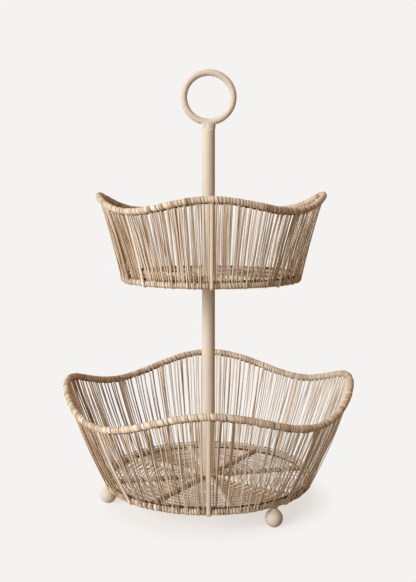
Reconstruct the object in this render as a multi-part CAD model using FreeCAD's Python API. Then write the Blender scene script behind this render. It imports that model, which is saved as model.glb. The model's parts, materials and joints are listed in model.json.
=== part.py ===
import FreeCAD, Part
import math
import os

from FreeCAD import Matrix, Placement, Vector

# Two-tier basket stand: a tube post with a ring handle carries two round baskets with waved
# rims. Each basket is a wire frame with fibre strands strung between its two bound hoops.
# Millimetres, +Z up. The origin is on the floor under the post. The ring faces -Y.

# Stack of heights, each from the one before: floor, lower base, upper base, top of the ring
lower_base_height = 21.1
tier_spacing = 203.8
handle_height = 214.7

# Fits and clearances
cut_overrun = 2.0
weld_gap = 0.1
fibre_gap = 0.3
sleeve_gap = 0.08
running_gap = 0.05
bolt_gap = 0.3

# Ring handle and post tube
ring_outer_diameter = 58.0
ring_bar_diameter = 7.0
post_diameter = 13.4
post_wall = 1.2
weld_length_below_ring = 6.0
weld_reach_up_ring = 2.0
weld_top_width = 14.2
weld_top_depth = 8.0

# Threaded joint between the two post sections
stud_diameter = 6.0
stud_engagement = 15.0
bush_length = 18.0
clamp_washer_thickness = 1.2

# Screw under the lower hub
screw_head_diameter = 11.0
screw_head_height = 3.3
screw_engagement = 14.0
screw_socket_across_flats = 4.0
screw_socket_depth = 2.0
base_washer_diameter = 18.0
base_washer_thickness = 1.2

# Ball feet
ball_diameter = 16.7
ball_flat_diameter = 6.0
foot_neck_diameter = 7.0
foot_thread_diameter = 4.0
foot_thread_depth = 9.0
foot_count = 3
first_foot_angle = math.radians(75.0)
foot_spacing_angle = math.radians(115.8)

# Hub plates and floor spokes
hub_diameter = 22.0
hub_thickness = 5.0
spoke_socket_depth = 4.5
spoke_wire_diameter = 3.0
spoke_binding_diameter = 4.6
spoke_count = 8
first_spoke_angle = math.radians(12.6)

# Floor weave
weave_thickness = 1.8
weft_width = 2.4
weave_edge_width = 1.6
lower_weft_gap_count = 14
upper_weft_gap_count = 12

# Hoops: wire inside, bound outside
base_wire_diameter = 5.0
base_binding_diameter = 6.9
rim_wire_diameter = 4.4
rim_binding_diameter = 6.2
rim_waves = 4
rim_raised_sides = 2
rim_spans_per_wave = 4

# Wall strands and uprights
strand_diameter = 1.5
upright_thickness = 2.6
upright_edge_radius = 0.9
edge_round_limit_share = 0.4
upright_count = 8
lower_bay_strand_count = 36
upper_bay_strand_count = 30

# Lower basket, measured on the centre lines of its hoops
lower_base_radius = 102.5
lower_rim_radius = 144.4
lower_rim_radius_swing = 0.3
lower_wall_height = 88.9
lower_rim_wave = 10.7
lower_rim_side_rise = 0.6
lower_rim_right_lift = 1.4
lower_rim_back_lift = 2.1
lower_upright_width = 4.6

# Upper basket, which sits a little to the right of the post
upper_base_radius = 89.0
upper_rim_radius = 114.6
upper_rim_radius_swing = 0.5
upper_wall_height = 76.0
upper_rim_wave = 6.6
upper_rim_side_rise = 2.35
upper_rim_right_lift = 0.4
upper_side_offset = 2.8
upper_upright_width = 3.6

# Worked out from the sizes above
up = Vector(0, 0, 1)
upper_base_height = lower_base_height + tier_spacing
overall_height = upper_base_height + handle_height
post_radius = post_diameter / 2
post_bore_radius = post_radius - post_wall
stud_radius = stud_diameter / 2
stud_bore_radius = stud_radius + running_gap
bolt_hole_radius = stud_radius + bolt_gap
hub_radius = hub_diameter / 2
spoke_radius = spoke_wire_diameter / 2
strand_radius = strand_diameter / 2
base_wire_radius = base_wire_diameter / 2
base_binding_radius = base_binding_diameter / 2
rim_wire_radius = rim_wire_diameter / 2
rim_binding_radius = rim_binding_diameter / 2
ring_radius = (ring_outer_diameter - ring_bar_diameter) / 2
ring_centre = Vector(0, 0, overall_height - ring_outer_diameter / 2)
lower_hub_bottom = lower_base_height - hub_thickness / 2
lower_post_bottom = lower_base_height + hub_thickness / 2
lower_post_top = upper_base_height - hub_thickness / 2
clamp_washer_bottom = upper_base_height + hub_thickness / 2
upper_post_bottom = clamp_washer_bottom + clamp_washer_thickness
upper_post_top = ring_centre.z - ring_outer_diameter / 2 - weld_length_below_ring


def turned(angle):
    """Unit vector in plan at an angle from +X."""
    return Vector(math.cos(angle), math.sin(angle), 0)


def rod(radius, start, end):
    """Round bar between two points."""
    return Part.makeCylinder(radius, (end - start).Length, start, end - start)


def post_piece(radius, bottom, top):
    """Round bar on the post's axis."""
    return rod(radius, up * bottom, up * top)


def sleeve(outer_radius, inner_radius, start, end):
    """Round tube between two points."""
    along = (end - start).normalize()
    bore = rod(inner_radius, start - along * cut_overrun, end + along * cut_overrun)
    return rod(outer_radius, start, end).cut(bore)


def post_sleeve(outer_radius, inner_radius, bottom, top):
    """Round tube on the post's axis."""
    return sleeve(outer_radius, inner_radius, up * bottom, up * top)


def arc_middle(start, tangent, end):
    """Middle point of the arc that leaves start along tangent and reaches end."""
    chord = end - start
    half_turn = tangent.getAngle(chord)
    side = (tangent - chord * (tangent.dot(chord) / chord.dot(chord))).normalize()
    return start + chord / 2 + side * (chord.Length / 2 * math.tan(half_turn / 2))


def biarc(start, start_tangent, end, end_tangent):
    """Two arcs that share a tangent where they join and have the given end tangents."""
    span = end - start
    bend = 2 * (1 - start_tangent.dot(end_tangent))
    along = span.dot(start_tangent + end_tangent)
    reach = (math.sqrt(along ** 2 + bend * span.dot(span)) - along) / bend
    join = (start + start_tangent * reach + end - end_tangent * reach) / 2
    first = Part.Arc(start, arc_middle(start, start_tangent, join), join)
    second = Part.Arc(join, arc_middle(end, -end_tangent, join), end)
    return [first.toShape(), second.toShape()]


class Basket:
    """One basket: hoops, floor and wall about an upright axis beside the post's or on it."""

    def __init__(self, side_offset, base_radius, base_height, rim_radius, rim_radius_swing, wall_height,
                 rim_wave, rim_side_rise, rim_right_lift, rim_back_lift, upright_width,
                 bay_strand_count, weft_gap_count):
        self.base_radius = base_radius
        self.base_height = base_height
        self.rim_radius = rim_radius
        self.rim_radius_swing = rim_radius_swing
        self.rim_height = base_height + wall_height
        self.rim_wave = rim_wave
        self.rim_side_rise = rim_side_rise
        self.rim_right_lift = rim_right_lift
        self.rim_back_lift = rim_back_lift
        self.upright_width = upright_width
        self.bay_strand_count = bay_strand_count
        self.weft_gap_count = weft_gap_count
        self.axis_foot = Vector(side_offset, 0, 0)
        self.centre = self.axis_foot + up * base_height
        self.floor_radius = base_radius - base_binding_radius - fibre_gap

    def base_point(self, angle):
        return turned(angle) * self.base_radius + self.centre

    def rim_point(self, angle):
        """Point of the rim's line: equal waves, a rise towards both sides and a slight tilt."""
        swing = math.cos(rim_waves * angle)
        radius = self.rim_radius + self.rim_radius_swing * swing
        lift = self.rim_wave * swing + self.rim_side_rise * math.cos(rim_raised_sides * angle)
        tilt = self.rim_right_lift * math.cos(angle) + self.rim_back_lift * math.sin(angle)
        return self.axis_foot + turned(angle) * radius + up * (self.rim_height + lift + tilt)

    def rim_tangent(self, angle):
        swing = math.cos(rim_waves * angle)
        sway = -rim_waves * math.sin(rim_waves * angle)
        radius = self.rim_radius + self.rim_radius_swing * swing
        outward = turned(angle) * (self.rim_radius_swing * sway)
        around = up.cross(turned(angle)) * radius
        side_sway = -rim_raised_sides * math.sin(rim_raised_sides * angle)
        slope = self.rim_wave * sway + self.rim_side_rise * side_sway
        tilt_slope = self.rim_back_lift * math.cos(angle) - self.rim_right_lift * math.sin(angle)
        return (outward + around + up * (slope + tilt_slope)).normalize()

    def rim_bar(self, radius):
        """Round bar along the waved rim."""
        spans = rim_waves * rim_spans_per_wave
        angles = [math.tau * index / spans for index in range(spans + 1)]
        edges = []
        for start, end in zip(angles, angles[1:]):
            edges += biarc(self.rim_point(start), self.rim_tangent(start),
                           self.rim_point(end), self.rim_tangent(end))
        section = Part.Wire(Part.makeCircle(radius, self.rim_point(0), self.rim_tangent(0)))
        return Part.Wire(edges).makePipeShell([section], True, False)

    def base_bar(self, radius):
        """Round bar along the base hoop."""
        return Part.makeTorus(self.base_radius, radius, self.centre, up)

    def upright_angles(self):
        return [math.tau * index / upright_count for index in range(upright_count)]

    def spoke_angles(self):
        return [first_spoke_angle + math.tau * index / spoke_count for index in range(spoke_count)]

    def spoke_line(self, angle):
        """Ends of a spoke wire: its socket in the hub and its weld on the base hoop."""
        inner = hub_radius - spoke_socket_depth + running_gap
        outer = self.base_radius - base_wire_radius - weld_gap
        return turned(angle) * inner + self.centre, turned(angle) * outer + self.centre

    def upright(self, angle, grow):
        """Flat bar between the hoop wires, or the larger bar that clears it."""
        foot = self.base_point(angle)
        head = self.rim_point(angle)
        along = (head - foot).normalize()
        across = up.cross(turned(angle))
        through = along.cross(across)
        foot_trim = base_wire_radius + weld_gap
        length = (head - foot).Length - foot_trim - rim_wire_radius - weld_gap
        width = self.upright_width + 2 * grow
        thickness = upright_thickness + 2 * grow
        bar = Part.makeBox(width, thickness, length, Vector(-width / 2, -thickness / 2, 0))
        rising = [edge for edge in bar.Edges if edge.Vertexes[0].Z != edge.Vertexes[-1].Z]
        bar = bar.makeFillet(min(upright_edge_radius, thickness * edge_round_limit_share) + grow, rising)
        corner = foot + along * foot_trim
        bar.Placement = Placement(Matrix(across.x, through.x, along.x, corner.x,
                                         across.y, through.y, along.y, corner.y,
                                         across.z, through.z, along.z, corner.z))
        return bar

    def strand(self, base_angle, rim_angle):
        """Straight strand that stops short of the bindings of both hoops."""
        foot = self.base_point(base_angle)
        head = self.rim_point(rim_angle)
        along = (head - foot).normalize()
        base_tangent = up.cross(turned(base_angle))
        foot_trim = strand_trim(base_binding_radius, along, base_tangent)
        head_trim = strand_trim(rim_binding_radius, along, self.rim_tangent(rim_angle))
        return rod(strand_radius, foot + along * foot_trim, head - along * head_trim)

    def wall_strands(self):
        """Strands of all bays, evenly spaced between neighbouring uprights."""
        margin = self.upright_width / 2 + fibre_gap + strand_radius
        bay = math.tau / upright_count
        strands = []
        for start in self.upright_angles():
            for index in range(self.bay_strand_count):
                share = index / (self.bay_strand_count - 1)
                angles = []
                for radius in (self.base_radius, self.rim_radius - self.rim_radius_swing):
                    inset = margin / radius
                    angles.append(start + inset + share * (bay - 2 * inset))
                strands.append(self.strand(*angles))
        return strands

    def sector(self, start, end, inner, outer, offset):
        """Outline between two spokes, its sides parallel to them at an offset."""
        corners = []
        for radius, side in ((inner, 1), (outer, 1), (outer, -1), (inner, -1)):
            angle = start if side > 0 else end
            corners.append(turned(angle + side * math.asin(offset / radius)) * radius + self.centre)
        middle = turned((start + end) / 2)
        outer_arc = Part.Arc(corners[1], middle * outer + self.centre, corners[2])
        inner_arc = Part.Arc(corners[3], middle * inner + self.centre, corners[0])
        sides = [Part.LineSegment(corners[0], corners[1]), outer_arc,
                 Part.LineSegment(corners[2], corners[3]), inner_arc]
        return Part.Wire([side.toShape() for side in sides])

    def floor_weave(self):
        """Flat net panels between the spokes, with a gap between neighbouring wefts."""
        inner = hub_radius + fibre_gap
        pitch = (self.floor_radius - weft_width - inner) / self.weft_gap_count
        side = spoke_binding_diameter / 2 + fibre_gap
        panels = []
        for start in self.spoke_angles():
            end = start + math.tau / spoke_count
            outlines = [self.sector(start, end, inner, self.floor_radius, side)]
            for index in range(self.weft_gap_count):
                gap_start = inner + index * pitch + weft_width
                gap_end = inner + (index + 1) * pitch
                outlines.append(self.sector(start, end, gap_start, gap_end, side + weave_edge_width))
            net = Part.Face(outlines, "Part::FaceMakerBullseye").extrude(up * weave_thickness)
            panels.append(net.translated(up * (-weave_thickness / 2)))
        return panels

    def hub_plate(self):
        """Round plate with a bolt hole on the post's axis and a radial socket for each spoke wire."""
        bottom = self.centre - up * (hub_thickness / 2)
        top = self.centre + up * (hub_thickness / 2)
        plate = rod(hub_radius, bottom, top)
        plate = plate.cut(post_piece(bolt_hole_radius, bottom.z - cut_overrun, top.z + cut_overrun))
        for angle in self.spoke_angles():
            inner = turned(angle) * (hub_radius - spoke_socket_depth) + self.centre
            mouth = turned(angle) * (hub_radius + cut_overrun) + self.centre
            plate = plate.cut(rod(spoke_radius + running_gap, inner, mouth))
        return plate

    def spoke_wires(self):
        return [rod(spoke_radius, *self.spoke_line(angle)) for angle in self.spoke_angles()]

    def spoke_bindings(self):
        """Fibre sleeve on each spoke between the hub and the base hoop's binding."""
        bindings = []
        for angle in self.spoke_angles():
            inner = turned(angle) * (hub_radius + fibre_gap) + self.centre
            outer = turned(angle) * self.floor_radius + self.centre
            bindings.append(sleeve(spoke_binding_diameter / 2, spoke_radius + sleeve_gap, inner, outer))
        return bindings

    def hoop_sleeve(self, outer, inner, hoop_point, reach):
        """Binding round a hoop: one strip for each bay, open where the uprights reach the wire."""
        openings = []
        for angle in self.upright_angles():
            openings.append(self.upright(angle, sleeve_gap))
            parting = Part.makeBox(2 * reach, fibre_gap, 2 * reach, Vector(-reach, -fibre_gap / 2, -reach))
            parting.rotate(Vector(), up, math.degrees(angle))
            openings.append(parting.translated(hoop_point(angle)))
        return outer.cut(inner).cut(openings)

    def base_ring_binding(self, foot_holes):
        """Binding of the base hoop, also open for the spokes and the foot studs."""
        spoke_holes = []
        for angle in self.spoke_angles():
            spoke_holes.append(rod(spoke_radius + sleeve_gap, *self.spoke_line(angle)))
        outer = self.base_bar(base_binding_radius)
        inner = self.base_bar(base_wire_radius + sleeve_gap)
        strips = self.hoop_sleeve(outer, inner, self.base_point, base_binding_radius + cut_overrun)
        return strips.cut(spoke_holes + foot_holes)

    def rim_binding(self):
        outer = self.rim_bar(rim_binding_radius)
        inner = self.rim_bar(rim_wire_radius + sleeve_gap)
        return self.hoop_sleeve(outer, inner, self.rim_point, rim_binding_radius + cut_overrun)

    def nodes(self, name, foot_holes):
        """Named pieces of this basket."""
        pieces = {
            "hub_plate": self.hub_plate(),
            "spoke_wires": Part.makeCompound(self.spoke_wires()),
            "spoke_bindings": Part.makeCompound(self.spoke_bindings()),
            "base_ring_wire": self.base_bar(base_wire_radius),
            "base_ring_binding": self.base_ring_binding(foot_holes),
            "rim_wire": self.rim_bar(rim_wire_radius),
            "rim_binding": self.rim_binding(),
            "wall_strands": Part.makeCompound(self.wall_strands()),
            "floor_weave": Part.makeCompound(self.floor_weave()),
        }
        for number, angle in enumerate(self.upright_angles(), start=1):
            pieces[f"upright_{number}"] = self.upright(angle, 0)
        return {f"{name}_{piece}": shape for piece, shape in pieces.items()}


def strand_trim(binding_radius, along, tangent):
    """Length to take off a strand so that its end clears a binding that it meets at a slant."""
    slant = along.getAngle(tangent)
    return (binding_radius + fibre_gap + strand_radius * abs(math.cos(slant))) / math.sin(slant)


def handle_nodes():
    """Ring, weld collar and the upper tube with its bush."""
    facing = Vector(0, 1, 0)
    bar_radius = ring_bar_diameter / 2
    ring = Part.makeTorus(ring_radius, bar_radius, ring_centre, facing)
    ring_room = Part.makeTorus(ring_radius, bar_radius + weld_gap, ring_centre, facing)
    return {
        "ring_handle": ring,
        "handle_weld": weld_collar().cut(ring_room),
        "upper_post": post_sleeve(post_radius, post_bore_radius, upper_post_bottom, upper_post_top),
        "upper_post_bush": bush(upper_post_bottom),
        "clamp_washer": post_sleeve(post_radius, bolt_hole_radius, clamp_washer_bottom, upper_post_bottom),
    }


def weld_collar():
    """Tube end pressed flat from front to back, up round the lower part of the ring's bar."""
    top = up * (upper_post_top + weld_length_below_ring + weld_reach_up_ring)
    outline = Part.Ellipse(Vector(), weld_top_width / 2, weld_top_depth / 2).toShape().translated(top)
    tube_end = Part.makeCircle(post_radius, up * upper_post_top)
    return Part.makeLoft([Part.Wire(tube_end), Part.Wire(outline)], True)


def bush(bottom):
    """Threaded bush inside a tube end, its thread a plain bore."""
    return post_sleeve(post_bore_radius - running_gap, stud_bore_radius, bottom, bottom + bush_length)


def base_screw():
    """Socket screw up through the washer and the lower hub into the tube's bush."""
    seat = lower_hub_bottom - base_washer_thickness
    shank = post_piece(stud_radius, seat, lower_post_bottom + screw_engagement)
    head = post_piece(screw_head_diameter / 2, seat - screw_head_height, seat)
    corner_radius = screw_socket_across_flats / math.sqrt(3)
    corners = [turned(math.tau * index / 6) * corner_radius for index in range(7)]
    socket = Part.Face(Part.makePolygon(corners)).extrude(up * (screw_socket_depth + cut_overrun))
    socket = socket.translated(up * (seat - screw_head_height - cut_overrun))
    return head.fuse(shank).removeSplitter().cut(socket)


def lower_post_nodes():
    """Lower tube, its two bushes, the joint stud and the screw from below."""
    stud_bottom = lower_post_top - stud_engagement
    stud_top = upper_post_bottom + stud_engagement
    washer_radius = base_washer_diameter / 2
    washer_bottom = lower_hub_bottom - base_washer_thickness
    return {
        "lower_post": post_sleeve(post_radius, post_bore_radius, lower_post_bottom, lower_post_top),
        "lower_post_top_bush": bush(lower_post_top - bush_length),
        "lower_post_bottom_bush": bush(lower_post_bottom),
        "joint_stud": post_piece(stud_radius, stud_bottom, stud_top),
        "base_screw": base_screw(),
        "base_washer": post_sleeve(washer_radius, bolt_hole_radius, washer_bottom, lower_hub_bottom),
    }


def foot_pieces(angle):
    """Ball with flats at its foot and under its neck, its stud and the stud's hole in the binding."""
    ball_radius = ball_diameter / 2
    place = turned(angle) * lower_base_radius
    centre_height = math.sqrt(ball_radius ** 2 - (ball_flat_diameter / 2) ** 2)
    neck_bottom = centre_height + math.sqrt(ball_radius ** 2 - (foot_neck_diameter / 2) ** 2)
    neck_top = lower_base_height - base_binding_radius - fibre_gap
    stud_bottom = neck_bottom - foot_thread_depth
    stud_top = lower_base_height - base_wire_radius - weld_gap
    thread_radius = foot_thread_diameter / 2
    ball = Part.makeSphere(ball_radius, place + up * centre_height)
    ball = ball.common(rod(ball_diameter, place, place + up * neck_bottom))
    socket_bottom = stud_bottom - bolt_gap
    ball = ball.cut(rod(thread_radius + running_gap, place + up * socket_bottom, place + up * neck_top))
    stud = rod(thread_radius, place + up * stud_bottom, place + up * stud_top)
    stud = stud.fuse(rod(foot_neck_diameter / 2, place + up * neck_bottom, place + up * neck_top))
    hole = rod(thread_radius + sleeve_gap, place + up * neck_top, place + up * lower_base_height)
    return ball, stud.removeSplitter(), hole


def foot_nodes(feet):
    """Three balls and the group of their studs."""
    nodes = {f"foot_ball_{number}": foot[0] for number, foot in enumerate(feet, start=1)}
    nodes["foot_studs"] = Part.makeCompound([foot[1] for foot in feet])
    return nodes


lower_basket = Basket(0, lower_base_radius, lower_base_height, lower_rim_radius, lower_rim_radius_swing,
                      lower_wall_height, lower_rim_wave, lower_rim_side_rise, lower_rim_right_lift,
                      lower_rim_back_lift, lower_upright_width, lower_bay_strand_count,
                      lower_weft_gap_count)
upper_basket = Basket(upper_side_offset, upper_base_radius, upper_base_height, upper_rim_radius,
                      upper_rim_radius_swing, upper_wall_height, upper_rim_wave, upper_rim_side_rise,
                      upper_rim_right_lift, 0, upper_upright_width, upper_bay_strand_count,
                      upper_weft_gap_count)
feet = [foot_pieces(first_foot_angle + foot_spacing_angle * index) for index in range(foot_count)]

nodes = {}
nodes.update(handle_nodes())
nodes.update(lower_post_nodes())
nodes.update(foot_nodes(feet))
nodes.update(lower_basket.nodes("lower", [foot[2] for foot in feet]))
nodes.update(upper_basket.nodes("upper", []))

os.makedirs("parts", exist_ok=True)
for name, shape in nodes.items():
    shape.exportStep(f"parts/{name}.step")
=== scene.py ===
import json
import math

import bpy
import numpy as np
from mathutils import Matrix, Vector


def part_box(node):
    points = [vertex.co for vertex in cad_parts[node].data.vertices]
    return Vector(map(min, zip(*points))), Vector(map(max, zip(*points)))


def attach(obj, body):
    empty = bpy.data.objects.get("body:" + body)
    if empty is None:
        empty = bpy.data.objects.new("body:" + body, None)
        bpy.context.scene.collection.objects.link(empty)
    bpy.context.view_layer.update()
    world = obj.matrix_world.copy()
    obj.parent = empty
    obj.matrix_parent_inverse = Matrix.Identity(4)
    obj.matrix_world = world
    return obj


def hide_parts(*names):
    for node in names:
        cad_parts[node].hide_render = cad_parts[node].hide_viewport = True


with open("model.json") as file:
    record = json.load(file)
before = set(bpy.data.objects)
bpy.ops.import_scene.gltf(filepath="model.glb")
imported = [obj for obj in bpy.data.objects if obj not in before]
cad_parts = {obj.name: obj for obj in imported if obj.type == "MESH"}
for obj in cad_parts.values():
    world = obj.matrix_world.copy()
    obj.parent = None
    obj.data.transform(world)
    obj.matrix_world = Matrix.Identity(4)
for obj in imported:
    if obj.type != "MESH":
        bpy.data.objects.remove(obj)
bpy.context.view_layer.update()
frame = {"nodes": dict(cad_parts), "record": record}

# Metres, +Z up along the post, and the photo looks along +Y.
MM = 0.001
FULL_TURN = 2 * math.pi
FRONT_ANGLE = -math.pi / 2
UPWARD = np.array([0.0, 0.0, 1.0])
random = np.random.default_rng(41)

# Camera: level, with the photo's eye level above the middle of its frame
IMAGE_HEIGHT = 582
EYE_LEVEL_ROW = 198.8
FOCAL_PIXELS = 845.9
SENSOR_SIZE = 36.0
CAMERA_PLACE = (-0.5 * MM, -872.5 * MM, 305.8 * MM)

# Light: where it comes from, as degrees from the front towards +X and degrees up, and its strength
KEY_LIGHT_FROM = (-48, 21)
KEY_ENERGY = 2.42
KEY_WIDTH_DEGREES = 35
SOFT_LIGHT_FROM = (-76, 35)
SOFT_LIGHT = (0.59, 0.573, 0.555)
SHADE_LIGHT = (0.28, 0.125, 0.015)

# Cosines, to the direction of the soft light, between which the shade light gives way to it
SOFT_LIGHT_COSINES = (-0.12, 0.7)

# Floor: the glow that it throws on the object, the light that falls on it, and the shadow that it shows
FLOOR_HALF_SIZE = 60.0
FLOOR_GLOW_RIGHT = (0.13, 0.07, 0.02)
FLOOR_GLOW_LEFT = (0.84, 0.785, 0.72)
FLOOR_GLOW_REACH = (-180 * MM, 560 * MM)
FLOOR_LIGHT = 0.74
SHADOW_SHARES = (0.3, 0.32, 0.33)
SHADOW_FADE = (92 * MM, 135 * MM)

# Colours as they look on a screen, 0 to 255
BACKDROP = (244, 243, 241)
PAINT = (220, 209, 192)
WIRE_PAINT = (176, 154, 126)
NYLON = (205, 192, 170)
ZINC_DARK = (150, 148, 146)
ZINC_LIGHT = (196, 194, 190)
FIBRE_SHADOW = (54, 33, 17)
FIBRE_DARK = (154, 111, 70)
FIBRE_MIDDLE = (231, 204, 172)
FIBRE_LIGHT = (255, 244, 227)
WINDING_DARK = (150, 113, 76)
WINDING_MIDDLE = (224, 203, 177)

# Noise in the materials: its scales to a metre, its detail and the range that its values fill
STREAK_SCALES = (160.0, 2600.0, 1.0)
BRUSH_SCALES = (300.0, 300.0, 4000.0)
FIBRE_DRIFT_SCALE = 45.0
PAINT_DRIFT_SCALE = 22.0
FINE_DETAIL = 3.0
BROAD_DETAIL = 2.0
NOISE_RANGE = (0.3, 0.7)

# Fibre: swings of tone by streaks and drift, cover of a crevice's shadow, and surface
STRAND_STREAKS = 0.5
WINDING_STREAKS = 0.4
FIBRE_DRIFT = 0.35
CREVICE_COVER = 0.94
FIBRE_ROUGHNESS = (0.5, 0.78)
FIBRE_GLOSS = 0.2
FIBRE_BUMP = 0.3
FIBRE_GRAIN_HEIGHT = 0.2 * MM
TONE_RANGE = (0.05, 1.0)
GRAIN_SEEDS = (0, 50)

# Paint and metal: spread of tone, and surface
PAINT_TONE_SHARES = (0.975, 1.015)
PAINT_ROUGHNESS = (0.48, 0.6)
PAINT_GLOSS = 0.12
ZINC_ROUGHNESS = (0.28, 0.5)
ZINC_BUMP = 0.1
ZINC_BRUSH_HEIGHT = 0.05 * MM

# Both baskets: counts, and how their lines are read from the CAD hoops
RIM_WAVES = 4
UPRIGHT_COUNT = 8
FRONT_UPRIGHT = 6
SPOKE_COUNT = 8
FIRST_SPOKE = math.radians(12.6)
FOOT_COUNT = 3
HOOP_SLICE = 0.004
RIM_LINE_POINTS = 4001
TANGENT_STEP = 1e-4
LOOP_POINTS = 360

# What differs between the baskets, as the Basket class describes it
LOWER_BASKET = dict(
    bay_strands=36,
    bundling=0.23,
    strand_sizes=(1.14, 0.54),
    right_painted_light=0.26,
    front_gap=6.2 * MM,
    cane_half_width=2.3 * MM,
    flare=1.22,
    rim_tone=0.51,
    base_cover=0.8 * MM,
    back_shade_cord=0.5,
    weft_count=26,
)
UPPER_BASKET = dict(
    bay_strands=30,
    bundling=0.06,
    strand_sizes=(1.05, 1.0),
    right_painted_light=0.07,
    front_gap=2.9 * MM,
    cane_half_width=1.8 * MM,
    flare=0.85,
    rim_tone=0.46,
    base_cover=0.5 * MM,
    back_shade_cord=1.0,
    weft_count=22,
)

# Strands and canes: gap to the hoops' lines, the share of strands that wrap the base hoop, and how they do
END_GAP = 1.2 * MM
WRAP_SHARE = 0.3
WRAP_CLEARANCE = 0.25 * MM
WRAP_TURNS = (-0.25, -1.45)
WRAP_RINGS = 6

# Wall strands: oval in section, in turn bowed in front of and behind the wall's surface
STRAND_HALF_WIDTH = 0.72 * MM
STRAND_HALF_DEPTH = 0.58 * MM
STRAND_LAYER = 0.75 * MM
STRAND_SLIP = 0.45 * MM
STRAND_RINGS = 13
STRAND_SIDES = 8
STRAND_TONE = 0.64
STRAND_TONE_SPREAD = 0.22
# Painted shade on each strand's two sides, for the shade between neighbouring strands
STRAND_SIDE_SHADE = 0.65

# Strands' differences: strands to a bundle, place and lean in strand spacings, and the others as shares
SMALLEST_BUNDLE = 2
LARGEST_BUNDLE = 5
STRAND_PLACE_SPREAD = 0.12
STRAND_LEAN = 0.2
STRAND_LEAN_SPREAD = 0.24
STRAND_LAYER_SPREAD = 0.35
STRAND_SIZE_SHARES = (0.7, 1.25)
STRAND_WOBBLE_SHARE = 0.1
STRAND_WOBBLE_POINTS = 6

# Uprights: flat canes
CANE_HALF_DEPTH = 0.95 * MM
CANE_BOW = 0.5 * MM
CANE_CLEARANCE = 1.1 * MM
CANE_DEPTH_SHARE = 0.06
CANE_WIDTH_SHARE = 0.03
CANE_RINGS = 25
CANE_SIDES = 18
CANE_TONE = 0.72
CANE_TONE_SPREAD = 0.06
# Painted shade on a cane's two sides
CANE_SIDE_SHADE = 0.6

# Windings: places across a strip, and the painted shade at each of them, deepest in the seam's crevice; and
# how sharply painted shade falls off towards a tube's sides
STRIP_SHARES = np.array([0.0, 0.1, 0.27, 0.5, 0.73, 0.9])
STRIP_SEAM_SHADES = np.array([1.0, 0.5, 0.0, 0.0, 0.0, 0.5])
EDGE_SHARPNESS = 3

# Rim winding: narrow strips and a few wide ones, with deep and faint seams
RIM_STRIP_WIDTHS = (2.3 * MM, 4.0 * MM)
RIM_WIDE_WIDTHS = (5.0 * MM, 7.5 * MM)
RIM_WIDE_SHARE = 0.15
RIM_SEAM_DEPTH = 0.55 * MM
RIM_SEAM_SHARPNESS = 5
RIM_DEEP_SEAM_SHARE = 0.4
RIM_FAINT_SEAMS = (0.3, 0.65)
RIM_SWELL_SPREAD = 0.12 * MM
RIM_TONE_SPREAD = 0.14
RIM_SIDES = 16

# Base hoop winding: beads
BASE_STRIP_WIDTHS = (2.1 * MM, 3.6 * MM)
BASE_SEAM_SHARPNESS = 2.2
BASE_SEAMS = (0.8, 1.0)
BASE_SWELL = (0.05 * MM, 0.35 * MM)
BASE_TONE = 0.43
BASE_TONE_SPREAD = 0.18
BASE_SIDES = 14

# Dark cords of painted shade: between the strands beside the hoops, and in the crevice between base hoop
# and floor
DARK_TONE = 0.1
DARK_CREVICE = 0.95
DARK_SIDES = 8
SHADE_CORD_HALF_DEPTH = 0.15 * MM
SHADE_CORD_HEIGHT_SHARES = (0.1, 1.0)
RIM_SHADE_CORD_GAP = 0.55 * MM
RIM_SHADE_CORD_HALF_HEIGHT = 1.3 * MM
RIM_BACK_SHADE_CORD = 1.0
BASE_SHADE_CORD_GAP = 1.2 * MM
BASE_SHADE_CORD_HALF_HEIGHT = 1.7 * MM
FLOOR_EDGE_HALF_DEPTH = 0.6 * MM
FLOOR_EDGE_HALF_HEIGHTS = (0.6 * MM, 1.6 * MM)
FLOOR_EDGE_SINK = 0.3 * MM
FLOOR_EDGE_DROP = 0.7 * MM

# Foot wraps: places across a wrap in half widths, and how far it stands over the winding there
FOOT_WRAP_HALF_WIDTH = 3.1 * MM
FOOT_WRAP_SHARES = np.array([-1.0, -0.98, -0.9, -0.45, 0.0, 0.45, 0.9, 0.98, 1.0])
FOOT_WRAP_SWELL = np.array([-0.8, 0.25, 0.5, 0.6, 0.62, 0.6, 0.5, 0.25, -0.8]) * MM
FOOT_WRAP_TONE = 0.26
FOOT_WRAP_SIDES = 28

# Floor spokes: large beads, and a middle tone for each spoke, painted lighter or darker for the light and
# shade that falls on it
SPOKE_WRAP = 2.3 * MM
SPOKE_STRIP_WIDTHS = (4.4 * MM, 6.0 * MM)
SPOKE_SEAM_DEPTH = 1.2 * MM
SPOKE_SEAM_SHARPNESS = 2.4
SPOKE_SWELL = (0.45 * MM, 0.75 * MM)
SPOKE_END_LAP = 1.5 * MM
SPOKE_LIGHT_AND_SHADE_TONES = (0.3, 0.36, 0.95, 1.0, 0.42, 0.25, 1.0, 1.0)
SPOKE_TONE_SPREAD = 0.08
SPOKE_SIDES = 12

# Floor wefts: flat cords, with a width and a middle tone for each panel between two spokes
WEFT_HALF_WIDTHS = np.array([0.85, 0.85, 1.2, 0.85, 1.15, 0.85, 1.5, 0.85]) * MM
WEFT_HALF_HEIGHT = 0.65 * MM
WEFT_HUB_GAP = 1.4 * MM
WEFT_HOOP_GAP = 1.2 * MM
WEFT_SPOKE_GAP = 1.2 * MM
WEFT_DROP = 1.7 * MM
WEFT_DROP_SPREAD = 0.12 * MM
WEFT_SLANT = 0.4 * MM
WEFT_DRIFT = 0.2 * MM
WEFT_STEP = 2.6 * MM
WEFT_LEAST_STEPS = 8
WEFT_SIDES = 8
PANEL_TONES = (1.0, 1.04, 0.6, 0.82, 0.75, 1.0, 0.58, 1.04)
# Painted light on every other weft ring and painted shade on the rest
WEFT_RING_LIGHT_AND_SHADE = 0.2
WEFT_TONE_SPREAD = 0.1
# Painted shade on a weft's two sides
WEFT_SIDE_SHADE = 0.7
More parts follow.
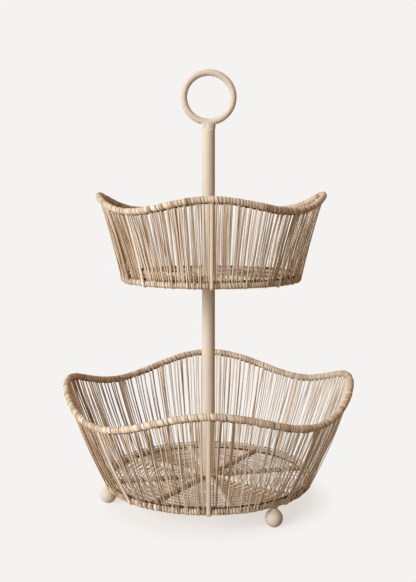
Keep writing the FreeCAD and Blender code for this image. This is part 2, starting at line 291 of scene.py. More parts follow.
# Painted shade on each weft's ends beside the spokes, and how far it reaches
WEFT_END_SHADE = 0.7
WEFT_END_SHADE_LENGTH = 3 * MM

# Hub coil: rings of round cord on the hub plate
COIL_RADIUS = 0.95 * MM
COIL_POST_GAP = 0.3 * MM
COIL_SEAT_SHARE = 0.8
COIL_POINTS = 72
COIL_SIDES = 8
COIL_TONE = 0.6
COIL_TONE_SPREAD = 0.1
# A little painted shade over the whole coil
COIL_SHADE = 0.1

# Weld: the tube's end, pressed towards the ring's bar and drawn in where it is inside the bar
WELD_LAP = 0.4 * MM
WELD_SKIN = 0.05 * MM
WELD_WIDENING = 0.55 * MM
WELD_OVER_BAR = 1.6 * MM
WELD_PRESS_RATE = 1.45
WELD_TUCK_WIDTH = 1.6 * MM
WELD_TUCK_DEPTH = 1.9 * MM
WELD_TUCK_START = 0.45
WELD_TUCK_SPAN = 0.4
WELD_RINGS = 30
WELD_SIDES = 72
WELD_SHARP_DEGREES = 50
WELD_RELIEF_RATE = 5

# Weld marks: height, turn from the front, level in bar radii above the ring's foot, and both spreads
WELD_MARKS = (
    (0.8 * MM, -0.75, -0.1, 0.2, 0.8),
    (-0.5 * MM, -0.42, -0.5, 0.18, 0.8),
    (0.35 * MM, 0.1, -0.25, 0.4, 0.35),
    (-0.4 * MM, 0.15, -1.2, 0.5, 0.5),
)


def linear(colour):
    """Screen colour as the light values that a shader takes, by the sRGB curve."""
    values = [channel / 255 for channel in colour]
    return [v / 12.92 if v <= 0.04045 else ((v + 0.055) / 1.055) ** 2.4 for v in values] + [1.0]


class NodeTree:
    """Shader nodes of a material or a world. What a method adds is given back as an output."""

    def __init__(self, owner):
        owner.use_nodes = True
        self.nodes = owner.node_tree.nodes
        self.link = owner.node_tree.links.new

    def fill(self, node, inputs):
        """Connect or set a node's inputs."""
        for key, value in inputs.items():
            if isinstance(value, bpy.types.NodeSocket):
                self.link(value, node.inputs[key])
            else:
                node.inputs[key].default_value = value

    def add(self, kind, inputs=None, output=0, **settings):
        node = self.nodes.new(kind)
        for key, value in settings.items():
            setattr(node, key, value)
        self.fill(node, inputs or {})
        return node.outputs[output]

    def principled(self, inputs):
        self.fill(self.nodes["Principled BSDF"], inputs)

    def attribute(self, name, output):
        return self.add("ShaderNodeAttribute", output=output, attribute_name=name)

    def place(self, kind="Object"):
        return self.add("ShaderNodeTexCoord", output=kind)

    def math(self, operation, first, second):
        return self.add("ShaderNodeMath", {0: first, 1: second}, operation=operation)

    def stretched(self, vector, scales):
        return self.add("ShaderNodeVectorMath", {0: vector, 1: scales}, operation="MULTIPLY")

    def length(self, vector):
        return self.add("ShaderNodeVectorMath", {0: vector}, "Value", operation="LENGTH")

    def dot(self, vector, other):
        return self.add("ShaderNodeVectorMath", {0: vector, 1: other}, "Value", operation="DOT_PRODUCT")

    def noise(self, vector, scale, detail):
        return self.add("ShaderNodeTexNoise", {"Vector": vector, "Scale": scale, "Detail": detail})

    def swing(self, noise, size):
        """Noise as a swing about zero."""
        return self.math("MULTIPLY", self.math("SUBTRACT", noise, 0.5), size)

    def spread(self, share, low, high):
        """Share from 0 to 1 as a value from low to high."""
        return self.add("ShaderNodeMapRange", {"Value": share, "To Min": low, "To Max": high})

    def soft_step(self, value, low, high):
        """0 up to low, 1 from high on and a smooth rise between them."""
        inputs = {"Value": value, "From Min": low, "From Max": high}
        return self.add("ShaderNodeMapRange", inputs, interpolation_type="SMOOTHSTEP")

    def ramp(self, value, stops):
        """Colour by value, from stops with a place and a screen colour each."""
        node = self.nodes.new("ShaderNodeValToRGB")
        elements = node.color_ramp.elements
        while len(elements) < len(stops):
            elements.new(0.5)
        for element, (position, colour) in zip(elements, stops):
            element.position = position
            element.color = linear(colour)
        self.link(value, node.inputs["Fac"])
        return node.outputs["Color"]

    def mix(self, share, first, second):
        """Colour between two colours."""
        inputs = {"Factor": share, "A": first, "B": second}
        return self.add("ShaderNodeMix", inputs, "Result", data_type="RGBA")

    def bump(self, height, strength, distance):
        return self.add("ShaderNodeBump", {"Height": height, "Strength": strength, "Distance": distance})

    def emission(self, colour):
        return self.add("ShaderNodeEmission", {"Color": colour})

    def mix_shaders(self, share, first, second):
        return self.add("ShaderNodeMixShader", {0: share, 1: first, 2: second})

    def seen_directly(self):
        """1 for rays that show the backdrop as it is, from the camera or by gloss or through glass."""
        rays = self.nodes.new("ShaderNodeLightPath").outputs
        seen = rays["Is Camera Ray"]
        for ray in ("Is Glossy Ray", "Is Transmission Ray"):
            seen = self.math("MAXIMUM", seen, rays[ray])
        return seen


def new_material(name):
    material = bpy.data.materials.new(name)
    return material, NodeTree(material)


def fibre_material(name, streaks, dark, middle):
    """Dry plant fibre: tone by strand, streaks along it, and painted shade darkening it in crevices, seams
    and between strands.
    """
    material, tree = new_material(name)
    grain = tree.attribute("grain", "Vector")
    streak = tree.noise(tree.stretched(grain, STREAK_SCALES), 1.0, FINE_DETAIL)
    drift = tree.noise(grain, FIBRE_DRIFT_SCALE, BROAD_DETAIL)
    tone = tree.math("ADD", tree.attribute("tone", "Fac"), tree.swing(streak, streaks))
    tone = tree.math("ADD", tone, tree.swing(drift, FIBRE_DRIFT))
    colour = tree.ramp(tone, [(0.0, dark), (0.5, middle), (1.0, FIBRE_LIGHT)])
    # Painted shade: an amount per point, kept as an attribute, darkens the colour towards the fibre's
    # shadow colour
    painted_shade = tree.spread(tree.attribute("painted_shade", "Fac"), 0.0, CREVICE_COVER)
    tree.principled({
        "Base Color": tree.mix(painted_shade, colour, linear(FIBRE_SHADOW)),
        "Roughness": tree.spread(streak, *FIBRE_ROUGHNESS),
        "Normal": tree.bump(streak, FIBRE_BUMP, FIBRE_GRAIN_HEIGHT),
        "Specular IOR Level": FIBRE_GLOSS,
    })
    return material


def paint_material(name, colour):
    """Satin coat or plastic with a faint drift of tone."""
    material, tree = new_material(name)
    drift = tree.noise(tree.place(), PAINT_DRIFT_SCALE, BROAD_DETAIL)
    shades = [[min(255, channel * share) for channel in colour] for share in PAINT_TONE_SHARES]
    tree.principled({
        "Base Color": tree.ramp(drift, list(zip(NOISE_RANGE, shades))),
        "Roughness": tree.spread(drift, *PAINT_ROUGHNESS),
        "Specular IOR Level": PAINT_GLOSS,
    })
    return material


def metal_material(name, dark, light):
    """Plated hardware with fine brushing."""
    material, tree = new_material(name)
    brush = tree.noise(tree.stretched(tree.place(), BRUSH_SCALES), 1.0, FINE_DETAIL)
    tree.principled({
        "Base Color": tree.ramp(brush, list(zip(NOISE_RANGE, (dark, light)))),
        "Roughness": tree.spread(brush, *ZINC_ROUGHNESS),
        "Normal": tree.bump(brush, ZINC_BUMP, ZINC_BRUSH_HEIGHT),
        "Metallic": 1.0,
    })
    return material


strand_fibre = fibre_material("strand_fibre", STRAND_STREAKS, FIBRE_DARK, FIBRE_MIDDLE)
winding_fibre = fibre_material("winding_fibre", WINDING_STREAKS, WINDING_DARK, WINDING_MIDDLE)
weft_fibre = fibre_material("weft_fibre", STRAND_STREAKS, FIBRE_DARK, FIBRE_MIDDLE)
powder_coat = paint_material("powder_coat", PAINT)
wire_coat = paint_material("wire_coat", WIRE_PAINT)
nylon = paint_material("nylon", NYLON)
zinc = metal_material("zinc", ZINC_DARK, ZINC_LIGHT)


def unit(vectors):
    return vectors / np.linalg.norm(vectors, axis=-1, keepdims=True)


def even_angles(count):
    """Angles at even steps round a full turn, from zero."""
    return FULL_TURN * np.arange(count) / count


def wrapped(angle):
    """Angle brought to within half a turn of zero."""
    return np.arctan2(np.sin(angle), np.cos(angle))


def radial(angle):
    """Outward unit vectors in plan."""
    return np.stack([np.cos(angle), np.sin(angle), np.zeros_like(angle)], axis=-1)


def direction(azimuth, elevation):
    """Unit vector at degrees from the front towards +X and degrees up."""
    turn, rise = math.radians(azimuth), math.radians(elevation)
    return (math.sin(turn) * math.cos(rise), -math.cos(turn) * math.cos(rise), math.sin(rise))


def smooth(value):
    """Soft step from 0 to 1."""
    value = np.clip(value, 0, 1)
    return value * value * (3 - 2 * value)


def frontness(angle):
    """1 at the front and 0 at the back, with a soft step at the sides."""
    return smooth(0.5 - 2 * np.sin(angle))


def running_sum(steps):
    """Sums of the steps so far, from zero."""
    return np.concatenate([[0], np.cumsum(steps)])


def arc_lengths(line):
    """Distance along a line of points to each of them."""
    return running_sum(np.linalg.norm(np.diff(line, axis=0), axis=1))


def tones(middle, spread, count=None):
    """Random tones about a middle one, from dark 0 to light 1."""
    return np.clip(random.normal(middle, spread, count), *TONE_RANGE)


def strip_widths(length, narrow, wide_share=0.0, wide=(0.0, 0.0)):
    """Random strip widths that fill a length exactly."""
    widths = []
    while sum(widths) < length:
        is_wide = random.random() < wide_share
        widths.append(random.uniform(*(wide if is_wide else narrow)))
    return np.array(widths) * length / sum(widths)


def section_frame(tangent, outward):
    """Two unit vectors across a line: the outward one and the one square to it."""
    first = unit(outward - tangent * np.sum(outward * tangent, axis=-1, keepdims=True))
    return first, np.cross(tangent, first)


def tube_faces(rings, sides, closed=False):
    """Faces of a tube's rings of points, joined to a loop if closed, or else with a cap on each end."""
    index = np.arange(rings * sides).reshape(rings, sides)
    if closed:
        index = np.concatenate([index, index[:1]])
    turned = np.roll(index, -1, axis=1)
    quads = np.stack([index[:-1], turned[:-1], turned[1:], index[1:]], axis=-1)
    faces = quads.reshape(-1, 4).tolist()
    if not closed:
        faces += [index[0, ::-1].tolist(), index[-1].tolist()]
    return faces


def strip_faces(steps, columns, sides, closed):
    """Faces of a wound strip: across it, from its last column to the next turn's first, and its ends."""
    index = np.arange(steps * columns).reshape(steps, columns)
    index = np.concatenate([index, np.roll(index[:, :1], -sides, axis=0)], axis=1)
    following = np.roll(index, -1, axis=0)
    quads = np.stack([index[:, :-1], index[:, 1:], following[:, 1:], following[:, :-1]], axis=-1)
    if closed:
        return quads.reshape(-1, 4).tolist()
    faces = quads[:steps - 1, :columns - 1].reshape(-1, 4).tolist()
    faces += quads[:steps - 1 - sides, columns - 1].tolist()
    start = np.concatenate([index[:sides + 1, 0], index[0, columns - 1:0:-1]])
    end = np.concatenate([index[steps - 1 - sides:, columns - 1], index[-1, columns - 2::-1]])
    return faces + [start[::-1].tolist(), end.tolist()]


def new_piece(name, mesh, material, body):
    """A mesh as a piece that rides on a body."""
    mesh.shade_smooth()
    mesh.materials.append(material)
    piece = bpy.data.objects.new(name, mesh)
    bpy.context.scene.collection.objects.link(piece)
    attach(piece, body)
    return piece


class Surface:
    """Mesh gathered from tubes and windings, with the fibre's attributes on each point: tone, grain and
    painted shade.
    """

    def __init__(self, origin):
        self.origin = origin
        self.points = []
        self.faces = []
        self.tone = []
        self.grain = []
        self.painted_shade = []
        self.size = 0

    def add(self, points, faces, tone, grain, painted_shade):
        count = len(points)
        self.points.append(points + self.origin)
        self.faces += [[corner + self.size for corner in face] for face in faces]
        self.tone.append(np.broadcast_to(tone, count))
        self.grain.append(grain)
        self.painted_shade.append(np.broadcast_to(painted_shade, count))
        self.size += count

    def tube(self, line, outward, half_depth, half_width, sides, tone, painted_shade=0.0, side_shade=0.0, closed=False):
        """Tube with an oval section along a line of points, a loop if closed.

        It carries painted shade: an amount for each ring, and more towards its two sides."""
        shape = (len(line), sides)
        if closed:
            tangent = unit(np.roll(line, -1, axis=0) - np.roll(line, 1, axis=0))
        else:
            tangent = unit(np.gradient(line, axis=0))
        first, second = section_frame(tangent, outward)
        angle = even_angles(sides)
        across = first[:, None] * np.cos(angle)[:, None] * np.reshape(half_depth, (-1, 1, 1))
        beside = second[:, None] * np.sin(angle)[:, None] * np.reshape(half_width, (-1, 1, 1))
        points = (line[:, None] + across + beside).reshape(-1, 3)
        along = np.broadcast_to(arc_lengths(line)[:, None], shape)
        girth = np.broadcast_to(np.reshape(half_width, (-1, 1)) * angle, shape)
        grain = np.stack([along, girth, np.full(shape, random.uniform(*GRAIN_SEEDS))], axis=-1)
        # Painted shade: the ring's own amount, or more towards the tube's two sides
        dark = np.maximum(np.reshape(painted_shade, (-1, 1)), side_shade * np.abs(np.sin(angle)) ** EDGE_SHARPNESS)
        dark = np.broadcast_to(dark, shape).ravel()
        self.add(points, tube_faces(len(line), sides, closed), tone, grain.reshape(-1, 3), dark)

    def winding(self, place, widths, radius, sides, tone, swell, seam, seam_depth, sharpness, closed):
        """Strip wound side by side round a line: place(s) gives its points, tangents and outward vectors.

        Each turn has its own width, tone, swell and strength of the seam before it."""
        turns = len(widths)
        cycle = np.arange(turns + 1)

        def by_turn(values, position):
            return np.interp(position % turns, cycle, np.append(values, values[0]))

        spiral = np.arange(turns * sides)[:, None] / sides
        position = spiral + STRIP_SHARES
        if closed:
            position = position % turns
        lap = np.interp(position, cycle, running_sum(widths))
        point, tangent, outward = place(lap)
        first, second = section_frame(tangent, outward)
        edge_seam = np.where(STRIP_SHARES < 0.5, by_turn(seam, spiral), by_turn(seam, spiral + 1))
        dip = edge_seam * np.abs(2 * STRIP_SHARES - 1) ** sharpness
        reach = (radius + by_turn(swell, spiral) - seam_depth * dip)[..., None]
        angle = (FULL_TURN * spiral)[..., None]
        points = point + reach * (np.cos(angle) * first + np.sin(angle) * second)
        strip_tone = np.broadcast_to(by_turn(tone, spiral), lap.shape).ravel()
        along = np.broadcast_to(spiral * FULL_TURN * radius, lap.shape)
        grain = np.stack([along, lap, np.full_like(lap, random.uniform(*GRAIN_SEEDS))], axis=-1)
        # Painted shade in the seams between turns
        painted_shade = (edge_seam * STRIP_SEAM_SHADES).ravel()
        faces = strip_faces(len(spiral), len(STRIP_SHARES), sides, closed)
        self.add(points.reshape(-1, 3), faces, strip_tone, grain.reshape(-1, 3), painted_shade)

    def build(self, name, material, body, slot):
        """The mesh, with its attributes, as a piece."""
        mesh = bpy.data.meshes.new(name)
        mesh.from_pydata(np.concatenate(self.points).tolist(), [], self.faces)
        for key, values in (("tone", self.tone), ("painted_shade", self.painted_shade)):
            attribute = mesh.attributes.new(key, "FLOAT", "POINT")
            attribute.data.foreach_set("value", np.concatenate(values).astype(np.float32))
        attribute = mesh.attributes.new("grain", "FLOAT_VECTOR", "POINT")
        attribute.data.foreach_set("vector", np.concatenate(self.grain).astype(np.float32).ravel())
        return new_piece(name, mesh, material, body)


def node_points(node):
    """All points of a CAD node."""
    mesh = frame["nodes"][node].data
    points = np.empty(len(mesh.vertices) * 3)
    mesh.vertices.foreach_get("co", points)
    return points.reshape(-1, 3)


def wire_sections(node, axis_foot, count):
    """Distance from the axis and height of a hoop wire's centre at even angles from +X."""
    points = node_points(node) - axis_foot
    turn = np.arctan2(points[:, 1], points[:, 0])
    reaches = []
    levels = []
    for angle in even_angles(count):
        near = points[np.abs(wrapped(turn - angle)) < HOOP_SLICE]
        reach = np.hypot(near[:, 0], near[:, 1])
        reaches.append((reach.min() + reach.max()) / 2)
        levels.append((near[:, 2].min() + near[:, 2].max()) / 2)
    return np.array(reaches), np.array(levels)


class Basket:
    """One basket's measures, taken from its CAD nodes, and its fibre pieces.

    bay_strands: strands between two uprights
    bundling: how far strands are drawn into bundles, as a share of their spacing
    strand_sizes: thickness at the rim and at the base, as shares of the common one
    right_painted_light: painted light: how much lighter the strands are at +X, the shade side, and darker
    at -X, the lit side
    front_gap: distance along the rim from the front upright's middle to the next strand
    cane_half_width: half the width of an upright
    flare: slope of the wall at its base, as a share of its mean slope
    rim_tone: middle tone of the rim's winding
    base_cover: thickness of the base hoop's winding, and depth of its seams
    back_shade_cord: strength of the painted shade cord by the base hoop at the back, as a share of that at
    the front
    weft_count: wefts from the hub to the base hoop"""

    def __init__(self, tier, body, foot_angles, bay_strands, bundling, strand_sizes, right_painted_light, front_gap,
                 cane_half_width, flare, rim_tone, base_cover, back_shade_cord, weft_count):
        self.tier = tier
        self.body = body
        self.foot_angles = foot_angles
        self.bay_strands = bay_strands
        self.bundling = bundling
        self.strand_sizes = strand_sizes
        self.right_painted_light = right_painted_light
        self.front_gap = front_gap
        self.cane_half_width = cane_half_width
        self.flare = flare
        self.rim_tone = rim_tone
        self.base_cover = base_cover
        self.back_shade_cord = back_shade_cord
        self.weft_count = weft_count

        low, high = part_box(f"{tier}_base_ring_wire")
        self.axis_foot = np.array([(low.x + high.x) / 2, 0.0, 0.0])
        self.base_height = (low.z + high.z) / 2
        self.base_radius = (high.x - low.x - high.z + low.z) / 2
        self.base_wrap = (high.z - low.z) / 2 + base_cover

        reaches, levels = wire_sections(f"{tier}_rim_wire", self.axis_foot, 2 * RIM_WAVES)
        right, back, left, front = levels[::2]
        self.rim_radius = reaches.mean()
        self.rim_swing = (reaches[::2].mean() - reaches[1::2].mean()) / 2
        self.rim_height = levels.mean()
        self.rim_wave = (levels[::2].mean() - levels[1::2].mean()) / 2
        self.side_rise = (right + left - back - front) / 4
        self.right_lift = (right - left) / 2
        self.back_lift = (back - front) / 2
        self.rim_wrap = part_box(f"{tier}_rim_binding")[1].z - right

        low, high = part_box(f"{tier}_hub_plate")
        self.hub_radius = (high.x - low.x) / 2
        self.hub_top = high.z
        self.post_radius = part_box("lower_post")[1].x

    def rim_reach(self, angle):
        """Distance of the rim's line from the axis."""
        return self.rim_radius + self.rim_swing * np.cos(RIM_WAVES * angle)

    def rim_level(self, angle):
        """Height of the rim's line: its waves, the rise of its sides and its tilt."""
        lift = self.rim_wave * np.cos(RIM_WAVES * angle) + self.side_rise * np.cos(2 * angle)
        tilt = self.right_lift * np.cos(angle) + self.back_lift * np.sin(angle)
        return self.rim_height + lift + tilt

    def rim_point(self, angle):
        point = radial(angle) * self.rim_reach(angle)[..., None]
        point[..., 2] = self.rim_level(angle)
        return point

    def base_point(self, angle, reach, level):
        """Point by the base hoop: its distance out from the hoop's line and its height above it."""
        point = radial(angle) * (self.base_radius + reach)[..., None]
        point[..., 2] = self.base_height + level
        return point

    def wall_length(self, angle):
        """Straight distance from the base hoop's line to the rim's."""
        return np.hypot(self.rim_reach(angle) - self.base_radius, self.rim_level(angle) - self.base_height)

    def wall_point(self, base_angle, rim_angle, share, offset):
        """Point of the wall between a place on the base hoop and one on the rim, moved outward."""
        angle = base_angle + (rim_angle - base_angle) * share
        curve = self.flare * share + (1 - self.flare) * share ** 2
        reach = self.base_radius + (self.rim_reach(rim_angle) - self.base_radius) * curve + offset
        point = radial(angle) * reach[..., None]
        point[..., 2] = self.base_height + (self.rim_level(rim_angle) - self.base_height) * share
        return point

    def rim_place(self):
        """Points, tangents and outward vectors along the rim by arc length, and its length."""
        fine = np.linspace(0, FULL_TURN, RIM_LINE_POINTS)
        along = arc_lengths(self.rim_point(fine))

        def place(s):
            angle = np.interp(s, along, fine)
            tangent = unit(self.rim_point(angle + TANGENT_STEP) - self.rim_point(angle - TANGENT_STEP))
            return self.rim_point(angle), tangent, radial(angle)

        return place, along[-1]

    def base_place(self):
        """Points, tangents and outward vectors along the base hoop by arc length, and its length."""

        def place(s):
            angle = s / self.base_radius
            return self.base_point(angle, 0 * s, 0.0), radial(angle + math.pi / 2), radial(angle)

        return place, FULL_TURN * self.base_radius

    def spoke_place(self, angle):
        """Points, tangents and upward vectors along a floor spoke by length, and its length."""
        inner = self.hub_radius - SPOKE_END_LAP
        outward = radial(np.array(angle))

        def place(s):
            point = outward * (inner + s)[..., None]
            point[..., 2] = self.base_height
            return point, np.broadcast_to(outward, point.shape), np.broadcast_to(UPWARD, point.shape)

        return place, self.base_radius - SPOKE_END_LAP - inner

    def spoke_angles(self):
        return FIRST_SPOKE + even_angles(SPOKE_COUNT)

    def hanging_line(self, base_angle, rim_angle, layer, slip, rings, reach):
        """Line from the rim to the base hoop, and round the outside of it if reach isn't zero.

        Layer bows it outward and slip bows it sideways, as a distance and an angle."""
        length = self.wall_length(rim_angle)
        lowest = 0.0 if reach else END_GAP / length
        share = np.linspace(1 - END_GAP / length, lowest, rings)
        bow = 4 * share * (1 - share)
        offset = layer * bow + reach * (1 - share) ** 2
        line = self.wall_point(base_angle + slip * bow, rim_angle + slip * bow, share, offset)
        if reach:
            turn = np.linspace(*WRAP_TURNS, WRAP_RINGS)
            around = np.full(WRAP_RINGS, base_angle)
            under = self.base_point(around, reach * np.cos(turn), reach * np.sin(turn))
            line = np.concatenate([line, under])
        return line

    def bundle_shifts(self):
        """How far each strand of a bay is drawn towards the middle of its bundle, in strand spacings."""
        shifts = []
        while len(shifts) < self.bay_strands:
            size = int(random.integers(SMALLEST_BUNDLE, LARGEST_BUNDLE + 1))
            shifts += list(self.bundling * ((size - 1) / 2 - np.arange(size)))
        return shifts[:self.bay_strands]

    def strands(self):
        """Thin strands in each bay between two uprights, drawn together in bundles and slightly skew."""
        surface = Surface(self.axis_foot)
        bay = FULL_TURN / UPRIGHT_COUNT
        pitch = bay / self.bay_strands
        margin = self.cane_half_width + CANE_CLEARANCE
        base_gap = margin / self.base_radius
        for number, start in enumerate(even_angles(UPRIGHT_COUNT)):
            start_gap = self.front_gap if number == FRONT_UPRIGHT else margin
            end_gap = self.front_gap if number + 1 == FRONT_UPRIGHT else margin
            first_rim = start + start_gap / self.rim_radius
            last_rim = start + bay - end_gap / self.rim_radius
            for index, shift in enumerate(self.bundle_shifts()):
                side = 1 if index % 2 else -1
                part = np.clip((index + shift) / (self.bay_strands - 1), 0.0, 1.0)
                base_angle = start + base_gap + part * (bay - 2 * base_gap)
                base_angle += random.normal(0, STRAND_PLACE_SPREAD) * pitch
                lean = side * STRAND_LEAN + random.normal(0, STRAND_LEAN_SPREAD)
                rim_angle = first_rim + part * (last_rim - first_rim) + lean * pitch
                self.strand(surface, base_angle, np.clip(rim_angle, first_rim, last_rim), side)
        piece = surface.build(f"{self.tier}_strands", strand_fibre, self.body, "wall_fibre")
        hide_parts(f"{self.tier}_wall_strands")

    def strand(self, surface, base_angle, rim_angle, side):
        """One strand with its own bow, thickness and tone, bowed to one side of the wall's surface."""
        layer = STRAND_LAYER * (side + random.normal(0, STRAND_LAYER_SPREAD))
        slip = random.normal(0, STRAND_SLIP) / self.base_radius
        wraps = random.random() < WRAP_SHARE
        reach = self.base_wrap + random.uniform(0.0, WRAP_CLEARANCE) if wraps else 0.0
        line = self.hanging_line(base_angle, rim_angle, layer, slip, STRAND_RINGS, reach)
        rings = len(line)
        size = random.uniform(*STRAND_SIZE_SHARES) * np.linspace(*self.strand_sizes, rings)
        wobble = random.uniform(-1, 1, STRAND_WOBBLE_POINTS)
        along = np.linspace(0, STRAND_WOBBLE_POINTS - 1, rings)
        size = size * (1 + STRAND_WOBBLE_SHARE * np.interp(along, np.arange(STRAND_WOBBLE_POINTS), wobble))
        # Painted light: strands lighter on the shade side at +X and darker on the lit side at -X
        tone = tones(STRAND_TONE + self.right_painted_light * math.cos(base_angle), STRAND_TONE_SPREAD)
        surface.tube(line, radial(np.full(rings, base_angle)), STRAND_HALF_DEPTH * size,
                     STRAND_HALF_WIDTH * size, STRAND_SIDES, tone, side_shade=STRAND_SIDE_SHADE)

    def uprights(self):
        """Flat cane strips from hoop to hoop, each a piece of its own."""
        reach = self.base_wrap + WRAP_CLEARANCE
        for number, angle in enumerate(even_angles(UPRIGHT_COUNT), start=1):
            surface = Surface(self.axis_foot)
            line = self.hanging_line(angle, angle, CANE_BOW, 0.0, CANE_RINGS, reach)
            rings = len(line)
            half_depth = CANE_HALF_DEPTH * (1 + CANE_DEPTH_SHARE * random.uniform(-1, 1, rings))
            half_width = self.cane_half_width * (1 + CANE_WIDTH_SHARE * random.uniform(-1, 1, rings))
            tone = tones(CANE_TONE, CANE_TONE_SPREAD)
            surface.tube(line, radial(np.full(rings, angle)), half_depth, half_width, CANE_SIDES, tone,
                         side_shade=CANE_SIDE_SHADE)
            piece = surface.build(f"{self.tier}_cane_{number}", strand_fibre, self.body, "wall_fibre")
            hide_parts(f"{self.tier}_upright_{number}")

    def rim(self):
        """Strip wound round the rim, and a dark cord of painted shade between the strands below it."""
        place, length = self.rim_place()
        widths = strip_widths(length, RIM_STRIP_WIDTHS, RIM_WIDE_SHARE, RIM_WIDE_WIDTHS)
        count = len(widths)
        is_deep = random.random(count) < RIM_DEEP_SEAM_SHARE
        seam = np.where(is_deep, 1.0, random.uniform(*RIM_FAINT_SEAMS, count))
        tone = tones(self.rim_tone, RIM_TONE_SPREAD, count)
        swell = random.normal(0, RIM_SWELL_SPREAD, count)
        surface = Surface(self.axis_foot)
        surface.winding(place, widths, self.rim_wrap, RIM_SIDES, tone, swell, seam,
                        seam_depth=RIM_SEAM_DEPTH, sharpness=RIM_SEAM_SHARPNESS, closed=True)
        drop = self.rim_wrap + RIM_SHADE_CORD_GAP
        share = 1 - drop / self.wall_length(even_angles(LOOP_POINTS))
        # Painted shade between the strands below the rim
        self.shade_cord(surface, share, RIM_SHADE_CORD_HALF_HEIGHT, RIM_BACK_SHADE_CORD)
        piece = surface.build(f"{self.tier}_rim_winding", winding_fibre, self.body, "binding_fibre")
        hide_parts(f"{self.tier}_rim_binding")

    def base(self):
        """Beads wound round the base hoop, dark cords of painted shade beside them and a flat wrap over
        each foot.
        """
        place, length = self.base_place()
        widths = strip_widths(length, BASE_STRIP_WIDTHS)
        count = len(widths)
        tone = tones(BASE_TONE, BASE_TONE_SPREAD, count)
        swell = random.uniform(*BASE_SWELL, count)
        seam = random.uniform(*BASE_SEAMS, count)
        surface = Surface(self.axis_foot)
        surface.winding(place, widths, self.base_wrap, BASE_SIDES, tone, swell, seam,
                        seam_depth=self.base_cover, sharpness=BASE_SEAM_SHARPNESS, closed=True)
        rise = self.base_wrap + BASE_SHADE_CORD_GAP
        share = rise / self.wall_length(even_angles(LOOP_POINTS))
        # Painted shade between the strands above the base hoop
        self.shade_cord(surface, share, BASE_SHADE_CORD_HALF_HEIGHT, self.back_shade_cord)
        self.floor_edge_shade(surface)
        for angle in self.foot_angles:
            self.foot_wrap(surface, angle)
        piece = surface.build(f"{self.tier}_base_winding", winding_fibre, self.body, "binding_fibre")
        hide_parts(f"{self.tier}_base_ring_binding")

    def shade_cord(self, surface, share, half_height, back_share):
        """Painted shade: a dark flat cord of uneven height between the strands beside a hoop, weakened at
        the back.
        """
        angle = even_angles(LOOP_POINTS)
        line = self.wall_point(angle, angle, share, 0 * angle)
        strength = back_share + (1 - back_share) * frontness(angle)
        half_heights = half_height * strength * random.uniform(*SHADE_CORD_HEIGHT_SHARES, LOOP_POINTS)
        surface.tube(line, radial(angle), SHADE_CORD_HALF_DEPTH, half_heights, DARK_SIDES, DARK_TONE,
                     DARK_CREVICE * strength, closed=True)

    def floor_edge_shade(self, surface):
        """Painted shade: a dark cord in the crevice between the base hoop's winding and the floor, standing
        for the shade there.
        """
        angle = even_angles(LOOP_POINTS)
        reach = np.full(LOOP_POINTS, FLOOR_EDGE_SINK - self.base_wrap)
        line = self.base_point(angle, reach, -FLOOR_EDGE_DROP)
        half_heights = random.uniform(*FLOOR_EDGE_HALF_HEIGHTS, LOOP_POINTS)
        # Painted shade along the floor's edge
        surface.tube(line, radial(angle), FLOOR_EDGE_HALF_DEPTH, half_heights, DARK_SIDES, DARK_TONE,
                     DARK_CREVICE, closed=True)

    def foot_wrap(self, surface, angle):
        """Broad flat wrap round the base hoop where a foot is fixed."""
        turn = angle + FOOT_WRAP_SHARES * FOOT_WRAP_HALF_WIDTH / self.base_radius
        line = self.base_point(turn, 0 * turn, 0.0)
        girth = self.base_wrap + FOOT_WRAP_SWELL
        surface.tube(line, radial(turn), girth, girth, FOOT_WRAP_SIDES, FOOT_WRAP_TONE)

    def spokes(self):
        """Fibre wound in beads round each floor spoke."""
        surface = Surface(self.axis_foot)
        # Painted light and shade: each spoke's middle tone is lighter or darker as light falls on it
        for angle, middle_tone in zip(self.spoke_angles(), SPOKE_LIGHT_AND_SHADE_TONES):
            place, length = self.spoke_place(angle)
            widths = strip_widths(length, SPOKE_STRIP_WIDTHS)
            count = len(widths)
            tone = tones(middle_tone, SPOKE_TONE_SPREAD, count)
            swell = random.uniform(*SPOKE_SWELL, count)
            surface.winding(place, widths, SPOKE_WRAP, SPOKE_SIDES, tone, swell, np.ones(count),
                            seam_depth=SPOKE_SEAM_DEPTH, sharpness=SPOKE_SEAM_SHARPNESS, closed=False)
        piece = surface.build(f"{self.tier}_spoke_windings", winding_fibre, self.body, "binding_fibre")
        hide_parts(f"{self.tier}_spoke_bindings")

    def floor(self):
        """Concentric wefts from spoke to spoke, and a coil on the hub."""
        surface = Surface(self.axis_foot)
        inner = self.hub_radius + WEFT_HUB_GAP
        outer = self.base_radius - self.base_wrap - WEFT_HOOP_GAP
        for ring in range(self.weft_count):
            reach = inner + (outer - inner) * ring / (self.weft_count - 1)
            for panel, start in enumerate(self.spoke_angles()):
                self.weft(surface, ring, panel, start, reach)
        self.hub_coil(surface)
        piece = surface.build(f"{self.tier}_wefts", weft_fibre, self.body, "floor_fibre")
        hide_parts(f"{self.tier}_floor_weave")

    def weft(self, surface, ring, panel, start, reach):
        """Cord across a panel, high at one spoke and low at the next, with painted light on every other
        ring and painted shade on the rest.
        """
        sector = FULL_TURN / SPOKE_COUNT
        steps = max(WEFT_LEAST_STEPS, int(reach * sector / WEFT_STEP))
        part = np.linspace(0, 1, steps)
        gap = WEFT_SPOKE_GAP / reach
        angle = start + gap + (sector - 2 * gap) * part
        slant = WEFT_SLANT if (ring + panel) % 2 else -WEFT_SLANT
        level = slant * np.cos(math.pi * part) + random.normal(-WEFT_DROP, WEFT_DROP_SPREAD)
        shift = random.normal(0, WEFT_DRIFT) * np.sin(math.pi * part)
        line = radial(angle) * (reach + shift)[..., None]
        line[..., 2] = self.base_height + level
